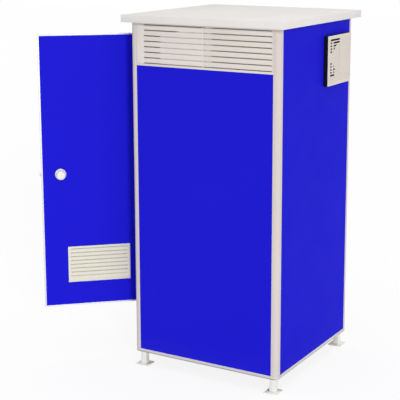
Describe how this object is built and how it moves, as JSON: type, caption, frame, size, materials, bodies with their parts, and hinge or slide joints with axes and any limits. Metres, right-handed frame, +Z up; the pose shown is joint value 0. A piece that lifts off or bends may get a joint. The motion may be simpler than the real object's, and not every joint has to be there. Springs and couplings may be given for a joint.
{
  "type": "portable toilet cabin",
  "caption": "Square portable toilet cabin with an outward door, louvre band, extractor fan, flat roof and bolted feet, fitted with a squat pan and cistern.",
  "frame": {"origin": "middle of the ground under the cabin, at the centre of the anchor hole pattern", "axes": "+Z up, +Y from the door side to the back wall, +X to the right seen from the door side"},
  "size_m": [1.3859, 1.7564, 2.419],
  "materials": {
    "frame_enamel": "satin cream enamel",
    "panel_blue": "satin blue coated steel face",
    "roof_enamel": "satin off-white enamel",
    "ceiling_white": "matt white",
    "edge_trim": "satin",
    "vent_plastic": "moulded cream",
    "fan_black": "matt black",
    "fan_grey": "moulded dark grey",
    "lock_white": "satin white",
    "steel": "brushed",
    "floor_sheet": "ribbed",
    "bearer_steel": "primer grey",
    "pan_ceramic": "glazed white",
    "white_plastic": "moulded white",
    "grey_pvc": "extruded grey",
    "chrome_button": "polished",
    "lamp_opal": "opal",
    "paper_white": "embossed tissue"
  },
  "bodies": {
    "cabin": {"base_frame": "frame_enamel", "cistern_lid": "white_plastic", "cistern_tank": "white_plastic", "door_head": "frame_enamel", "door_jamb": "frame_enamel", "door_sill": "frame_enamel", "drain_pipe": "grey_pvc", "fan_box": "fan_black", "fan_cover": "vent_plastic", "fan_duct": "fan_grey", "fan_motor": "fan_black", "float_valve": "white_plastic", "floor_bearers": "bearer_steel", "floor_panel": "floor_sheet", "flush_pipe": "white_plastic", "flush_valve": "white_plastic", "foot_back_left": "frame_enamel", "foot_back_right": "frame_enamel", "foot_front_left": "frame_enamel", "foot_front_right": "frame_enamel", "front_lower_panel": "panel_blue", "front_side_panel": "panel_blue", "hinge_leaves_jamb": "steel", "hinge_pins": "steel", "lamp_base": "white_plastic", "lamp_cover": "lamp_opal", "paper_holder": "steel", "post_back_left": "frame_enamel", "post_back_right": "frame_enamel", "post_front_left": "frame_enamel", "post_front_right": "frame_enamel", "roof_core": "ceiling_white", "roof_sheet": "roof_enamel", "squat_pan": "pan_ceramic", "strike_plate": "steel", "supply_pipe": "grey_pvc", "switch_plate": "white_plastic", "vent_blades": "frame_enamel", "vent_rail": "frame_enamel", "vent_top_rail": "frame_enamel", "wall_panel_back": "panel_blue", "wall_panel_left": "panel_blue", "wall_panel_right": "panel_blue"},
    "door": {"door_leaf": "panel_blue", "door_edge_bottom": "edge_trim", "door_edge_top": "edge_trim", "door_edge_hinge": "edge_trim", "door_edge_lock": "edge_trim", "door_vent_outer": "vent_plastic", "door_vent_inner": "vent_plastic", "lock_case": "steel", "lock_roses": "lock_white", "hinge_leaves_door": "steel"},
    "latch": {"latch_bolt": "steel"},
    "outer_knob": {"outer_knob": "lock_white"},
    "inner_knob": {"inner_knob": "lock_white"},
    "fan_rotor": {"fan_rotor": "fan_grey"},
    "flush_button": {"flush_button": "chrome_button"},
    "paper_roll": {"paper_roll": "paper_white"},
    "light_switch": {"switch_rocker": "white_plastic"}
  },
  "joints": [
    {"name": "door_hinge", "type": "hinge", "parent": "cabin", "child": "door", "pos_m": [0.274, -0.557, 1.33275], "axis": [0, 0, 1], "range_deg": [-132.35, 42.65]},
    {"name": "outer_knob_turn", "type": "hinge", "parent": "door", "child": "outer_knob", "pos_m": [0.68856, -1.05187, 1.3255], "axis": [0.739, 0.6737, 0], "range_deg": [0, 60], "stiffness_Nm_per_rad": 0.3},
    {"name": "inner_knob_turn", "type": "hinge", "parent": "door", "child": "inner_knob", "pos_m": [0.68856, -1.05187, 1.3255], "axis": [0.739, 0.6737, 0], "range_deg": [0, 60]},
    {"name": "latch_slide", "type": "slide", "parent": "door", "child": "latch", "axis": [0.6737, -0.739, 0], "range_m": [-0.0105, 0]},
    {"name": "fan_spin", "type": "hinge", "parent": "cabin", "child": "fan_rotor", "pos_m": [-0.2745, 0.553, 2.109], "axis": [0, 1, 0], "continuous": true},
    {"name": "flush_press", "type": "slide", "parent": "cabin", "child": "flush_button", "axis": [0, 0, -1], "range_m": [0, 0.006], "stiffness_N_per_m": 400, "springref_m": -0.003},
    {"name": "paper_roll_spin", "type": "hinge", "parent": "cabin", "child": "paper_roll", "pos_m": [-0.441, 0.06, 1.0123], "axis": [0, 1, 0], "continuous": true},
    {"name": "light_switch_rock", "type": "hinge", "parent": "cabin", "child": "light_switch", "pos_m": [0.407, -0.501, 1.375], "axis": [-1, 0, 0], "range_deg": [0, 8]}
  ],
  "couplings": [
    {"joint": "inner_knob_turn", "follows": "outer_knob_turn", "ratio": 1},
    {"joint": "latch_slide", "follows": "outer_knob_turn", "m_per_rad": -0.010027}
  ]
}
